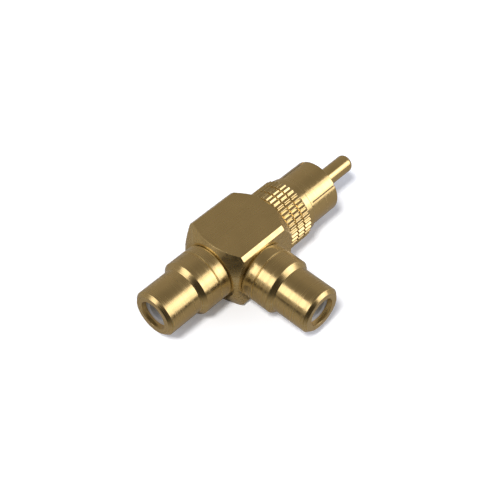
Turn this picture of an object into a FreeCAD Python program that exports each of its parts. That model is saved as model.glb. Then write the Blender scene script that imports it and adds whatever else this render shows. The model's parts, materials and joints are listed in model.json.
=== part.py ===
import FreeCAD, Part
import os
import re
import Sketcher

# A coaxial T adaptor: one phono plug feeds two phono sockets, one in line with it and one
# at its side. The three ports stand on a block of square brass bar. The origin is on the
# block's resting face, straight below the point where the port axes cross. The plug points
# along +X, the in-line socket along -X, the side socket along -Y, and +Z is up.

# Driving dimensions: lengths in millimetres, angles in degrees
SIZES = {
    # The block
    "block_width": 12.0,            # across the flats of the square bar
    "block_inline_length": 6.0,     # from the crossing of the axes to the in-line socket's seat
    "block_plug_length": 7.3,       # from the crossing of the axes to the plug's seat
    "block_edge_chamfer": 0.7,      # on the four long edges
    "inline_face_radius": 5.45,     # flat round middle of the turned end beside the in-line socket
    "inline_cone_angle": 33.0,      # slope of that end, from the end face
    "plug_face_radius": 6.3,        # flat middle of the turned end beside the plug, wider than the flats
    "plug_cone_angle": 51.0,        # slope of that end, from the end face
    "block_bore_radius": 3.4,       # through bore along the plug's axis
    "press_gap": 0.02,              # radial room left between two pieces pressed together

    # The turned shell that both sockets share, measured from its seat on the block
    "spigot_radius": 4.2,           # pressed end inside the block
    "spigot_length": 1.6,           # pressed end inside the block
    "neck_radius": 4.55,            # thin neck beside the block
    "neck_length": 0.1,             # thin neck beside the block
    "ring_radius": 4.94,            # the two wide rings
    "ring_chamfer": 0.12,           # on the ring's edge beside the neck
    "groove_place": 2.2,            # from the seat to the fine groove between the rings
    "groove_width": 0.3,            # fine groove, across its mouth
    "groove_depth": 0.22,           # fine groove
    "shoulder_place": 5.35,         # from the seat to the start of the cone
    "shoulder_length": 0.8,         # cone from the ring to the mouth
    "mouth_radius": 4.125,          # standard outside of a phono socket
    "socket_length": 12.8,          # from the seat to the end of the mouth
    "lip_bevel": 0.55,              # on the outer edge of the mouth
    "mouth_hole_radius": 2.55,      # hole in the mouth's end wall
    "mouth_wall": 1.0,              # thickness of the mouth's end wall
    "socket_bore_radius": 3.1,      # inside of the shell

    # The sockets' insulators and spring contacts
    "entry_radius": 1.75,           # plastic hole that guides the pin
    "entry_length": 2.0,            # plastic hole that guides the pin
    "chamber_radius": 2.3,          # room round the spring contact
    "contact_room": 0.1,            # between the contact's end and the plastic in front of it
    "contact_clearance": 0.05,      # radial room for a pin in the contact
    "contact_wall": 0.4,            # wall of the spring tube
    "contact_depth": 2.1,           # how far behind the seat the contact's bore ends
    "contact_slot_width": 0.3,      # spring slots
    "contact_slot_length": 5.0,     # spring slots
    "contact_slots": 4,             # spring slots round the contact
    "tail_radius": 0.8,             # rear end of a contact, pressed in the hub
    "tail_depth": 1.3,              # how far a tail reaches into the hub

    # The hub and its sleeve inside the block
    "hub_half_length": 2.6,         # from the crossing to the hub's ends, and to the side contact's base
    "hub_hole_room": 0.1,           # past the end of each pressed tail
    "sleeve_hole_room": 0.1,        # radial room round the side contact in the sleeve

    # The plug's knurled collar, measured from its seat on the block
    "collar_spigot_radius": 4.6,    # pressed end inside the block
    "collar_spigot_length": 2.55,   # pressed end inside the block
    "collar_neck_radius": 5.2,      # neck beside the block
    "collar_neck_length": 0.62,     # neck beside the block
    "knurl_radius": 5.68,           # over the ridges
    "knurl_length": 4.84,           # all three bands and the grooves between them
    "knurl_blank_room": 0.05,       # radial room that the cuts take off the turned blank
    "knurl_ridges": 40,             # round the collar
    "knurl_depth": 0.4,             # of the straight V cuts, which meet in sharp ridges
    "knurl_turn": 6.2,              # angle of the first V cut, from straight up towards the side socket
    "band_groove_first": 1.63,      # from the knurl's start to the middle of the first band groove
    "band_pitch": 1.66,             # from the first band groove to the second
    "band_groove_width": 0.27,      # grooves between the knurled bands
    "band_groove_depth": 0.45,      # grooves between the knurled bands
    "nose_cone_length": 0.34,       # cone from the knurl to the nose
    "nose_radius": 5.15,            # plain nose in front of the knurl
    "nose_length": 1.31,            # plain nose in front of the knurl

    # The plug's slotted barrel
    "barrel_spigot_radius": 4.45,   # pressed end inside the collar
    "barrel_spigot_length": 3.0,    # pressed end inside the collar
    "barrel_radius": 4.88,          # outside of the barrel
    "barrel_clearance": 0.075,      # radial room for a socket's mouth inside the barrel
    "barrel_length": 6.19,          # in front of the collar
    "barrel_slots": 4,              # slots that let the barrel spring
    "barrel_slot_width": 0.25,      # saw cut
    "barrel_slot_start": 0.46,      # from the collar to the root of each slot
    "barrel_turn": 53.0,            # angle of the first slot, from straight up towards the side socket

    # The plug's insulator and pin
    "flange_thickness": 0.7,        # front flange of the insulator, seated inside the barrel
    "flange_recess": 0.11,          # how far the flange's front lies behind the collar's nose
    "pin_radius": 1.6,              # standard phono pin
    "pin_reach": 8.4,               # from the barrel's end to the pin's tip
    "pin_tip_round": 0.8,           # rounding of the tip
    "pin_shoulder_chamfer": 0.1,    # on the pin's shoulder, which seats on the flange
    "shank_radius": 1.2,            # thin rear part of the pin, inside the insulator
}

document = FreeCAD.newDocument("splitter")
sheet = document.addObject("Spreadsheet::Sheet", "Sizes")
for row, name in enumerate(SIZES, 1):
    sheet.set("A" + str(row), name)
    sheet.set("B" + str(row), str(SIZES[name]))
    sheet.setAlias("B" + str(row), name)
document.recompute()


def bound(formula):
    """A formula written with size names, as an expression on the sheet."""
    def word(match):
        return "Sizes." + match[0] if match[0] in SIZES else match[0]
    return re.sub(r"[a-z_]+", word, formula)


def number(formula):
    """The present value of a formula written with size names."""
    return float(sheet.evalExpression(bound(formula)))


# Formulas used by more than one piece

AXIS_HEIGHT = "block_width / 2"
CONTACT_RADIUS = "(pin_radius + contact_clearance + contact_wall)"
HUB_RADIUS = "(chamber_radius - press_gap)"
BAND_GROOVES = ["band_groove_first", "band_groove_first + band_pitch"]
KNURL_END = "(collar_neck_length + knurl_length)"
NOSE_END = "(collar_neck_length + knurl_length + nose_cone_length + nose_length)"
BARREL_END = "(" + NOSE_END + " + barrel_length)"
BARREL_BORE = "(mouth_radius + barrel_clearance)"
FLANGE_FRONT = "(" + NOSE_END + " - flange_recess)"
FLANGE_BACK = "(" + FLANGE_FRONT + " - flange_thickness)"


# Ways of working that all the pieces share

def new_body(label, x="0", y="0", turn_axis=(0, 0, 1), turn="0"):
    """A piece with its own place: at the height of the port axes, turned about one axis."""
    body = document.addObject("PartDesign::Body", label)
    body.Label = label
    body.Placement = FreeCAD.Placement(
        FreeCAD.Vector(0, 0, 0), FreeCAD.Rotation(FreeCAD.Vector(*turn_axis), 0))
    body.setExpression("Placement.Base.x", bound(x))
    body.setExpression("Placement.Base.y", bound(y))
    body.setExpression("Placement.Base.z", bound(AXIS_HEIGHT))
    body.setExpression("Placement.Rotation.Angle", bound(turn))
    return body


def origin_feature(body, role):
    """One of the body's own origin planes or axes."""
    return next(item for item in body.Origin.OriginFeatures if item.Role == role)


def new_sketch(body, plane, name, offset="0"):
    """A sketch on one of the body's origin planes, moved out along the plane's normal."""
    sketch = body.newObject("Sketcher::SketchObject", name)
    sketch.AttachmentSupport = (origin_feature(body, plane), [""])
    sketch.MapMode = "FlatFace"
    sketch.setExpression("AttachmentOffset.Base.z", bound(offset))
    return sketch


def draw_outline(sketch, corners):
    """A closed outline of straight lines whose corners are bound to formulas."""
    first = sketch.GeometryCount
    points = [FreeCAD.Vector(number(x), number(y), 0) for x, y in corners]
    count = len(points)
    for i in range(count):
        sketch.addGeometry(Part.LineSegment(points[i], points[(i + 1) % count]))
    for i in range(count):
        line = first + i
        following = first + (i + 1) % count
        sketch.addConstraint(Sketcher.Constraint("Coincident", line, 2, following, 1))
    for i, (x, y) in enumerate(corners):
        line = first + i
        for kind, formula, value in (("DistanceX", x, points[i].x), ("DistanceY", y, points[i].y)):
            name = "corner" + str(line) + kind[-1]
            index = sketch.addConstraint(Sketcher.Constraint(kind, -1, 1, line, 1, value))
            sketch.renameConstraint(index, name)
            sketch.setExpression("Constraints." + name, bound(formula))


def changed_volume(body, feature, grows):
    """Recomputes the piece and makes sure that the feature did add or remove metal."""
    before = getattr(feature.BaseFeature, "Shape", None)
    start = before.Volume if before is not None and not before.isNull() else 0
    document.recompute()
    if grows != (feature.Shape.Volume > start):
        raise RuntimeError(feature.Name + " did not change the piece as it should")
    body.Tip = feature
    return feature


def turned(body, kind, name, corners, axis="H_Axis"):
    """A profile on the XY plane, turned round the part's axis as on a lathe."""
    sketch = new_sketch(body, "XY_Plane", name + "_profile")
    draw_outline(sketch, corners)
    feature = body.newObject("PartDesign::" + kind, name)
    feature.Profile = sketch
    feature.ReferenceAxis = (sketch, [axis])
    feature.Angle = 360
    sketch.Visibility = False
    return changed_volume(body, feature, kind == "Revolution")


def cut_along(body, name, plane, corners, length, offset="0"):
    """A straight cut that runs from its sketch along the plane's normal."""
    sketch = new_sketch(body, plane, name + "_outline", offset)
    draw_outline(sketch, corners)
    pocket = body.newObject("PartDesign::Pocket", name)
    pocket.Profile = sketch
    pocket.setExpression("Length", bound(length))
    pocket.Reversed = True
    sketch.Visibility = False
    return changed_volume(body, pocket, False)


def repeat_round(body, name, feature, count):
    """Repeats a cut evenly round the X axis."""
    pattern = body.newObject("PartDesign::PolarPattern", name)
    pattern.Originals = [feature]
    pattern.Axis = (origin_feature(body, "X_Axis"), [""])
    pattern.Angle = 360
    pattern.setExpression("Occurrences", bound(count))
    body.Tip = pattern
    before = feature.Shape.Volume
    document.recompute()
    if pattern.Shape.Volume >= before:
        raise RuntimeError(name + " cut nothing more")
    return pattern


def ring_edges(shape, x, radius):
    """Names of the round edges of one radius at one place along the X axis."""
    found = []
    for i, edge in enumerate(shape.Edges):
        curve = edge.Curve
        if not isinstance(curve, Part.Circle):
            continue
        if abs(curve.Center.x - x) < 1e-4 and abs(curve.Radius - radius) < 1e-4:
            found.append("Edge" + str(i + 1))
    if not found:
        raise RuntimeError("no round edge at " + str(x))
    return found


# The block: square bar, its ends turned down to a cone and its bores stepped for the ports

def make_block():
    body = new_body("body_block")
    half = AXIS_HEIGHT
    flat = half + " - block_edge_chamfer"
    section = new_sketch(body, "YZ_Plane", "bar_section", "-block_inline_length")
    draw_outline(section, [
        (half, "-(" + flat + ")"), (half, flat), (flat, half), ("-(" + flat + ")", half),
        ("-(" + half + ")", flat), ("-(" + half + ")", "-(" + flat + ")"),
        ("-(" + flat + ")", "-(" + half + ")"), (flat, "-(" + half + ")")])
    bar = body.newObject("PartDesign::Pad", "bar")
    bar.Profile = section
    bar.setExpression("Length", bound("block_inline_length + block_plug_length"))
    changed_volume(body, bar, True)
    beyond = "block_width"
    for name, end, inward in (
            ("inline", "-block_inline_length", " + "), ("plug", "block_plug_length", " - ")):
        face = name + "_face_radius"
        slope = "(" + beyond + " - " + face + ") * tan(" + name + "_cone_angle)"
        turned(body, "Groove", name + "_end_cone", [
            (end, face), (end, beyond), (end + inward + slope, beyond)])
    turned(body, "Groove", "main_bore", [
        ("-block_inline_length", "0"),
        ("-block_inline_length", "spigot_radius + press_gap"),
        ("-block_inline_length + spigot_length", "spigot_radius + press_gap"),
        ("-block_inline_length + spigot_length", "block_bore_radius"),
        ("block_plug_length - collar_spigot_length", "block_bore_radius"),
        ("block_plug_length - collar_spigot_length", "collar_spigot_radius + press_gap"),
        ("block_plug_length", "collar_spigot_radius + press_gap"),
        ("block_plug_length", "0")])
    side = "-(" + half + ")"
    turned(body, "Groove", "side_bore", [
        ("0", side),
        ("spigot_radius + press_gap", side),
        ("spigot_radius + press_gap", side + " + spigot_length"),
        ("socket_bore_radius", side + " + spigot_length"),
        ("socket_bore_radius", "0"),
        ("0", "0")], "V_Axis")
    return body


# The sockets: each is a shell, an insulator and a spring contact, drawn with its seat on the
# block at x = 0 and its mouth towards +X, and then turned to its own port

def make_shell(label, place):
    body = new_body(label, **place)
    turned(body, "Revolution", "shell", [
        ("-spigot_length", "socket_bore_radius"),
        ("-spigot_length", "spigot_radius"),
        ("0", "spigot_radius"),
        ("0", "neck_radius"),
        ("neck_length", "neck_radius"),
        ("neck_length", "ring_radius - ring_chamfer"),
        ("neck_length + ring_chamfer", "ring_radius"),
        ("groove_place - groove_width / 2", "ring_radius"),
        ("groove_place", "ring_radius - groove_depth"),
        ("groove_place + groove_width / 2", "ring_radius"),
        ("shoulder_place", "ring_radius"),
        ("shoulder_place + shoulder_length", "mouth_radius"),
        ("socket_length - lip_bevel", "mouth_radius"),
        ("socket_length", "mouth_radius - lip_bevel"),
        ("socket_length", "mouth_hole_radius"),
        ("socket_length - mouth_wall", "mouth_hole_radius"),
        ("socket_length - mouth_wall", "socket_bore_radius")])
    return body


def make_socket_insulator(label, place):
    body = new_body(label, **place)
    front = "socket_length - mouth_wall"
    turned(body, "Revolution", "insulator", [
        ("-spigot_length", "chamber_radius"),
        ("-spigot_length", "socket_bore_radius - press_gap"),
        (front, "socket_bore_radius - press_gap"),
        (front, "entry_radius"),
        (front + " - entry_length", "entry_radius"),
        (front + " - entry_length", "chamber_radius")])
    return body


def make_contact(label, place, seat, tail_end):
    """The spring tube with its solid base and its tail, which ends at a distance from the crossing."""
    body = new_body(label, **place)
    front = "(socket_length - mouth_wall - entry_length - contact_room)"
    bore = "pin_radius + contact_clearance"
    base = "hub_half_length - " + seat
    tail = tail_end + " - " + seat
    turned(body, "Revolution", "contact", [
        (tail, "0"),
        (tail, "tail_radius"),
        (base, "tail_radius"),
        (base, "chamber_radius - press_gap"),
        ("-contact_depth", "chamber_radius - press_gap"),
        ("-contact_depth", CONTACT_RADIUS),
        (front, CONTACT_RADIUS),
        (front, bore),
        ("-contact_depth", bore),
        ("-contact_depth", "0")])
    half = "contact_slot_width / 2"
    slot = cut_along(body, "spring_slot", "XY_Plane", [
        (front + " - contact_slot_length", "-" + half),
        (front + " + contact_room", "-" + half),
        (front + " + contact_room", half),
        (front + " - contact_slot_length", half)], "chamber_radius")
    repeat_round(body, "spring_slots", slot, "contact_slots")
    return body


def make_socket(port, place, seat, tail_end):
    return [
        make_shell(port + "_socket_shell", place),
        make_socket_insulator(port + "_socket_insulator", place),
        make_contact(port + "_socket_contact", place, seat, tail_end)]


# The hub joins the three centre conductors, and its sleeve keeps it off the block

def make_hub():
    body = new_body("centre_hub")
    turned(body, "Revolution", "hub", [
        ("-hub_half_length", "0"), ("-hub_half_length", HUB_RADIUS),
        ("hub_half_length", HUB_RADIUS), ("hub_half_length", "0")])
    depth = "(tail_depth + hub_hole_room)"
    for name, end, inner, radius in (
            ("inline_hole", "-hub_half_length", "-hub_half_length + " + depth, "tail_radius + press_gap"),
            ("pin_hole", "hub_half_length", "hub_half_length - " + depth, "shank_radius + press_gap")):
        turned(body, "Groove", name, [(end, "0"), (end, radius), (inner, radius), (inner, "0")])
    turned(body, "Groove", "side_hole", [
        ("0", "-hub_half_length"),
        ("tail_radius + press_gap", "-hub_half_length"),
        ("tail_radius + press_gap", "-" + HUB_RADIUS + " + " + depth),
        ("0", "-" + HUB_RADIUS + " + " + depth)], "V_Axis")
    return body


def make_sleeve():
    body = new_body("hub_sleeve")
    back = "-block_inline_length + spigot_length"
    front = "block_plug_length - collar_spigot_length"
    outer = "block_bore_radius - press_gap"
    turned(body, "Revolution", "sleeve", [
        (back, "chamber_radius"), (back, outer), (front, outer), (front, "chamber_radius")])
    hole = "chamber_radius + sleeve_hole_room"
    turned(body, "Groove", "contact_hole", [
        ("0", "-block_bore_radius"), (hole, "-block_bore_radius"), (hole, "0"), ("0", "0")], "V_Axis")
    return body


# The plug: collar, barrel, insulator and pin, drawn with the collar's seat at x = 0

PLUG_PLACE = {"x": "block_plug_length"}


def make_collar():
    """The knurl is the hardest form: V cuts that meet in ridges, then the grooves between its bands."""
    body = new_body("plug_collar", turn_axis=(1, 0, 0), turn="knurl_turn", **PLUG_PLACE)
    seat = "(" + NOSE_END + " - barrel_spigot_length)"
    turned(body, "Revolution", "collar", [
        ("-collar_spigot_length", "block_bore_radius"),
        ("-collar_spigot_length", "collar_spigot_radius"),
        ("0", "collar_spigot_radius"),
        ("0", "collar_neck_radius"),
        ("collar_neck_length", "collar_neck_radius"),
        ("collar_neck_length", "knurl_radius + knurl_blank_room"),
        (KNURL_END, "knurl_radius + knurl_blank_room"),
        (KNURL_END + " + nose_cone_length", "nose_radius"),
        (NOSE_END, "nose_radius"),
        (NOSE_END, "barrel_spigot_radius + press_gap"),
        (seat, "barrel_spigot_radius + press_gap"),
        (seat, "block_bore_radius")])
    valley = "(knurl_radius - knurl_depth)"
    half_pitch = "(180 / knurl_ridges)"
    across = "(2 * knurl_radius * sin" + half_pitch + ")"
    above = valley + " + 2 * (knurl_radius * cos" + half_pitch + " - " + valley + ")"
    cut = cut_along(body, "valley", "YZ_Plane", [
        ("0", valley), (across, above), ("-" + across, above)],
        "knurl_length + nose_cone_length", "collar_neck_length")
    repeat_round(body, "valleys", cut, "knurl_ridges")
    for number_of_groove, place in enumerate(BAND_GROOVES):
        middle = "collar_neck_length + " + place
        turned(body, "Groove", "band_groove_" + str(number_of_groove + 1), [
            (middle + " - band_groove_width / 2", "knurl_radius + band_groove_depth"),
            (middle + " - band_groove_width / 2", "knurl_radius - band_groove_depth"),
            (middle + " + band_groove_width / 2", "knurl_radius - band_groove_depth"),
            (middle + " + band_groove_width / 2", "knurl_radius + band_groove_depth")])
    return body


def make_barrel():
    body = new_body("plug_barrel", turn_axis=(1, 0, 0), turn="barrel_turn", **PLUG_PLACE)
    turned(body, "Revolution", "barrel", [
        (NOSE_END + " - barrel_spigot_length", "block_bore_radius"),
        (NOSE_END + " - barrel_spigot_length", "barrel_spigot_radius"),
        (NOSE_END, "barrel_spigot_radius"),
        (NOSE_END, "barrel_radius"),
        (BARREL_END, "barrel_radius"),
        (BARREL_END, BARREL_BORE),
        (FLANGE_BACK, BARREL_BORE),
        (FLANGE_BACK, "block_bore_radius")])
    root = NOSE_END + " + barrel_slot_start"
    past = BARREL_END + " + barrel_slot_width"
    half = "barrel_slot_width / 2"
    slot = cut_along(body, "slot", "XY_Plane", [
        (root, "-" + half), (past, "-" + half), (past, half), (root, half)],
        "barrel_radius + barrel_slot_width")
    repeat_round(body, "slots", slot, "barrel_slots")
    return body


def make_plug_insulator():
    body = new_body("plug_insulator", **PLUG_PLACE)
    turned(body, "Revolution", "insulator", [
        ("-collar_spigot_length", "shank_radius + press_gap"),
        ("-collar_spigot_length", "block_bore_radius - press_gap"),
        (FLANGE_BACK, "block_bore_radius - press_gap"),
        (FLANGE_BACK, BARREL_BORE + " - press_gap"),
        (FLANGE_FRONT, BARREL_BORE + " - press_gap"),
        (FLANGE_FRONT, "shank_radius + press_gap")])
    return body


def make_pin():
    body = new_body("plug_pin", **PLUG_PLACE)
    tip = BARREL_END + " + pin_reach"
    rear = "hub_half_length - tail_depth - block_plug_length"
    pin = turned(body, "Revolution", "pin", [
        (rear, "0"),
        (rear, "shank_radius"),
        (FLANGE_FRONT, "shank_radius"),
        (FLANGE_FRONT, "pin_radius - pin_shoulder_chamfer"),
        (FLANGE_FRONT + " + pin_shoulder_chamfer", "pin_radius"),
        (tip, "pin_radius"),
        (tip, "0")])
    rounding = body.newObject("PartDesign::Fillet", "tip_rounding")
    rounding.Base = (pin, ring_edges(pin.Shape, number(tip), number("pin_radius")))
    rounding.setExpression("Radius", bound("pin_tip_round"))
    changed_volume(body, rounding, False)
    return body


pieces = [make_block()]
pieces += make_socket(
    "inline", {"x": "-block_inline_length", "turn": "180"},
    "block_inline_length", "hub_half_length - tail_depth")
pieces += make_socket(
    "side", {"y": "-(" + AXIS_HEIGHT + ")", "turn": "-90"},
    AXIS_HEIGHT, HUB_RADIUS + " - tail_depth")
pieces += [make_hub(), make_sleeve(), make_collar(), make_barrel(), make_plug_insulator(), make_pin()]
document.recompute()

for item in document.Objects:
    if "Invalid" in item.State or "Error" in item.State:
        raise RuntimeError(item.Name + " failed to recompute")

os.makedirs("parts", exist_ok=True)
for piece in pieces:
    shape = piece.Shape
    if shape.isNull() or not shape.isValid() or len(shape.Solids) != 1:
        raise RuntimeError(piece.Label + " is not one good solid")
    shape.exportStep("parts/" + piece.Label + ".step")
    print(piece.Label, round(shape.Volume, 2), "cubic millimetres")
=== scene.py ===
# %% [markdown]
# A gold-plated phono splitter, seen from above on a pale table. One plug feeds two sockets,
# and all three stand on a small block of square brass bar. The solids come from the frame:
# this script keeps their places and sizes, and gives each piece its finished surface.

# %% The frame
import json
import math

import bpy
from mathutils import Matrix, Vector


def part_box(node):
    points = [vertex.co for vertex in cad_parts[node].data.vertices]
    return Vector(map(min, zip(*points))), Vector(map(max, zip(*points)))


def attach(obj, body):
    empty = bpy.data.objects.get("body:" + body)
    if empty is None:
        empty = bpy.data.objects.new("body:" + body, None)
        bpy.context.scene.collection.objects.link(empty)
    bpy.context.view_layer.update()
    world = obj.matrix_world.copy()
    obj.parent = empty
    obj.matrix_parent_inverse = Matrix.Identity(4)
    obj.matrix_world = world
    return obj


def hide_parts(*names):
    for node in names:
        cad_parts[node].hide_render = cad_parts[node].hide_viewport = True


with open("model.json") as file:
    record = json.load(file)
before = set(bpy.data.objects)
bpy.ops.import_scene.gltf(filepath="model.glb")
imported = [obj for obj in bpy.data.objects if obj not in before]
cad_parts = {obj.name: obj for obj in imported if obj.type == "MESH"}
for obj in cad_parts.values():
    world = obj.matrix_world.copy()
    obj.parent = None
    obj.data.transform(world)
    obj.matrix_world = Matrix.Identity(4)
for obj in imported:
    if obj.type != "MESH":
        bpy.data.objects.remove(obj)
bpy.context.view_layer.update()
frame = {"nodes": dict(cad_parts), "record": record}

# %% [markdown]
# Every port of the splitter stands on the middle of the block, so one height serves all the
# axes. The sizes that another connector has to fit are stated as mounts in the frame, and the
# seats of the pieces follow from the boxes of its solids. They are read here and not typed
# again, so that the dressed model can't drift away from the solids.

# %% Measures from the frame
MM = 0.001
mounts = {mount["name"]: mount for mount in frame["record"]["mounts"]}
axis_height = mounts["plug_pin"]["pos_m"][2] / MM


def extent(node, axis):
    """Lowest and highest place of a solid along one axis, in millimetres."""
    low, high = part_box(node)
    return low[axis] / MM, high[axis] / MM


block_back, block_front = extent("body_block", 0)
mouth_radius = mounts["inline_socket_shell"]["dims"]["r_mm"]
pin_radius = mounts["plug_pin"]["dims"]["r_mm"]
contact_bore = mounts["inline_socket_contact"]["dims"]["r_mm"]
to_axis = Matrix.Translation((0, 0, axis_height * MM))
plug_place = to_axis @ Matrix.Translation((block_front * MM, 0, 0))
port_places = {
    "inline": to_axis @ Matrix.Translation((block_back * MM, 0, 0)) @ Matrix.Rotation(math.pi, 4, "Z"),
    "side": to_axis @ Matrix.Translation((0, -axis_height * MM, 0)) @ Matrix.Rotation(-math.pi / 2, 4, "Z")}
print("axes at", axis_height, "mm, block from", round(block_back, 2), "to", round(block_front, 2), "mm")

# %% [markdown]
# Nearly every piece of a phono connector is turned on a lathe, so nearly every piece here is
# one outline spun round an axis. It could be a curve with a Screw modifier, but then the
# edges would be knife-sharp, and no real edge is. The helper below takes the corners of the
# outline, each with the radius of its own small rounding, and adds a tight pair of points
# beside every rounding. Those keep the flats flat when the surface is shaded smooth. The
# roundings are named from sharp to round, and they are millimetres like every length in an
# outline.

# %% Outlines with rounded corners
ROUNDING_STEPS = 4
LONGEST_CUT = 0.4
GUARD = 0.03
GUARD_SHARE = 0.25
SHARP = 0.03
CRISP = 0.04
FINE = 0.05
EASED = 0.07
SOFT = 0.08
BROKEN = 0.1
ROUND = 0.12


def rounded(corners):
    """Points of a closed outline. A corner is (x, radius) or (x, radius, rounding)."""
    count = len(corners)
    points = []
    for i in range(count):
        here = Vector(corners[i][:2])
        rounding = corners[i][2] if len(corners[i]) > 2 else 0
        back = Vector(corners[i - 1][:2]) - here
        ahead = Vector(corners[(i + 1) % count][:2]) - here
        if rounding == 0:
            points.append(here)
            continue
        half_turn = (math.pi - back.angle(ahead)) / 2
        cut = min(rounding * math.tan(half_turn), LONGEST_CUT * back.length, LONGEST_CUT * ahead.length)
        start = here + back.normalized() * cut
        end = here + ahead.normalized() * cut
        guard_back = min(GUARD, GUARD_SHARE * (back.length - cut))
        guard_ahead = min(GUARD, GUARD_SHARE * (ahead.length - cut))
        points.append(start + back.normalized() * guard_back)
        for step in range(ROUNDING_STEPS + 1):
            share = step / ROUNDING_STEPS
            points.append(start.lerp(here, share).lerp(here.lerp(end, share), share))
        points.append(end + ahead.normalized() * guard_ahead)
    return points


print("a rounded corner becomes", ROUNDING_STEPS + 3, "points")

# %% [markdown]
# Copies of the outline stand round the axis, and four-sided faces join them. Where an outline
# ends on the axis, its copies share one point there, so the end is closed. The mesh also gets
# a UV map whose second value is the way along the outline in millimetres, because the turning
# tool's fine lines follow that way. A closed mesh has a volume below zero when its faces point
# inwards, and that is how one that came out inside out is found and turned.

# %% The lathe
TURN = 2 * math.pi
CREASE_ANGLE = math.radians(35)


def even_angles(count, first=0.0):
    """Angles round the axis, from straight up towards the side socket."""
    return [first + TURN * i / count for i in range(count)]


def signed_volume(mesh):
    """Six times the volume inside a closed mesh: below zero if it is inside out."""
    mesh.calc_loop_triangles()
    total = 0.0
    for triangle in mesh.loop_triangles:
        a, b, c = (mesh.vertices[i].co for i in triangle.vertices)
        total += a.dot(b.cross(c))
    return total


def turn_outwards(mesh):
    """Makes the faces point out of the solid, smooth except over sharp edges."""
    if signed_volume(mesh) < 0:
        mesh.flip_normals()
    mesh.shade_smooth()
    mesh.set_sharp_from_angle(angle=CREASE_ANGLE)


def spin(name, outline_at, angles, place):
    """A mesh spun round the X axis. The outline may change with the angle; ends on the axis close."""
    outlines = [rounded(outline_at(angle)) for angle in angles]
    open_ended = outlines[0][0].y == 0
    rows = len(outlines[0])
    columns = len(angles)
    verts = []
    index = {}
    for row in range(rows):
        for column, angle in enumerate(angles):
            x, radius = outlines[column][row]
            if radius == 0 and column > 0:
                index[row, column] = index[row, 0]
                continue
            index[row, column] = len(verts)
            verts.append((x * MM, -radius * math.sin(angle) * MM, radius * math.cos(angle) * MM))
    steps = [0.0]
    for row in range(rows):
        steps.append(steps[-1] + (outlines[0][(row + 1) % rows] - outlines[0][row]).length)
    faces = []
    marks = []
    for row in range(rows - 1 if open_ended else rows):
        for column in range(columns):
            right = (column + 1) % columns
            above = (row + 1) % rows
            ring = [(row, column), (row, right), (above, right), (above, column)]
            around = [column, column + 1, column + 1, column]
            along = [row, row, row + 1, row + 1]
            corners = []
            places = []
            for corner, a, b in zip(ring, around, along):
                if index[corner] not in corners:
                    corners.append(index[corner])
                    places.append((a / columns, steps[b]))
            if len(corners) > 2:
                faces.append(corners)
                marks.extend(places)
    mesh = bpy.data.meshes.new(name)
    mesh.from_pydata(verts, [], faces)
    uv = mesh.uv_layers.new(name="lathe")
    for corner, mark in zip(uv.data, marks):
        corner.uv = mark
    mesh.transform(place)
    turn_outwards(mesh)
    thing = bpy.data.objects.new(name, mesh)
    bpy.context.scene.collection.objects.link(thing)
    return thing


def lathe(name, corners, place, columns=192):
    """A plain turned piece."""
    thing = spin(name, lambda angle: corners, even_angles(columns), place)
    print(name, len(thing.data.polygons), "faces")
    return thing


print("edges over", round(math.degrees(CREASE_ANGLE)), "degrees stay sharp")

# %% [markdown]
# Some shapes follow a rule, such as saw slots at even turns and the ridges of a knurl.
# Geometry Nodes suit them: a small tree states the rule once, and named inputs give the
# sizes. The helpers below make a tree, set a modifier's inputs by their identifiers and turn
# the finished result into a plain mesh, because neither the frame nor the export keeps a
# live modifier or an instance.

# %% Helpers for node trees
def new_tree(name, inputs):
    """A geometry tree with one geometry in and out, and named number inputs."""
    tree = bpy.data.node_groups.new(name, "GeometryNodeTree")
    tree.interface.new_socket("Geometry", in_out="INPUT", socket_type="NodeSocketGeometry")
    for title, kind in inputs:
        tree.interface.new_socket(title, in_out="INPUT", socket_type="NodeSocket" + kind)
    tree.interface.new_socket("Geometry", in_out="OUTPUT", socket_type="NodeSocketGeometry")
    return tree


def connect(tree, value, socket):
    """Feeds a socket from another socket, or sets it to a plain value."""
    if isinstance(value, bpy.types.NodeSocket):
        tree.links.new(value, socket)
    else:
        socket.default_value = value


def math_node(tree, operation, *values):
    """One Math node; its inputs are sockets or numbers."""
    node = tree.nodes.new("ShaderNodeMath")
    node.operation = operation
    for socket, value in zip(node.inputs, values):
        connect(tree, value, socket)
    return node.outputs[0]


def finish_tree(tree, geometry, material):
    """The end of every tree: real geometry, with its material."""
    realize = tree.nodes.new("GeometryNodeRealizeInstances")
    paint = tree.nodes.new("GeometryNodeSetMaterial")
    out = tree.nodes.new("NodeGroupOutput")
    tree.links.new(geometry, realize.inputs[0])
    tree.links.new(realize.outputs[0], paint.inputs["Geometry"])
    paint.inputs["Material"].default_value = material
    tree.links.new(paint.outputs[0], out.inputs[0])


def apply_tree(thing, tree, values, place):
    """Runs a tree on a piece, keeps the result as its mesh and puts it in its place."""
    modifier = thing.modifiers.new(tree.name, "NODES")
    modifier.node_group = tree
    for item in tree.interface.items_tree:
        if item.in_out == "INPUT" and item.name in values:
            modifier[item.identifier] = values[item.name]
    bpy.context.view_layer.update()
    finished = thing.evaluated_get(bpy.context.evaluated_depsgraph_get())
    mesh = bpy.data.meshes.new_from_object(finished)
    thing.modifiers.clear()
    thing.data = mesh
    mesh.name = thing.name
    mesh.transform(place)
    turn_outwards(mesh)
    print(thing.name, len(mesh.polygons), "faces after", tree.name)
    return thing


print("helpers for node trees made")

# %% [markdown]
# A material is a tree of nodes as well. Each helper below adds one node: noise, a range that
# is stretched to another, a blend of two colours, a bump, or coordinates scaled by axis. With
# them the recipes of the finishes further down stay short.

# %% Helpers for materials
def new_material(name):
    """An empty node material with its Principled shader."""
    material = bpy.data.materials.new(name)
    material.use_nodes = True
    return material, material.node_tree, material.node_tree.nodes["Principled BSDF"]


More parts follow.
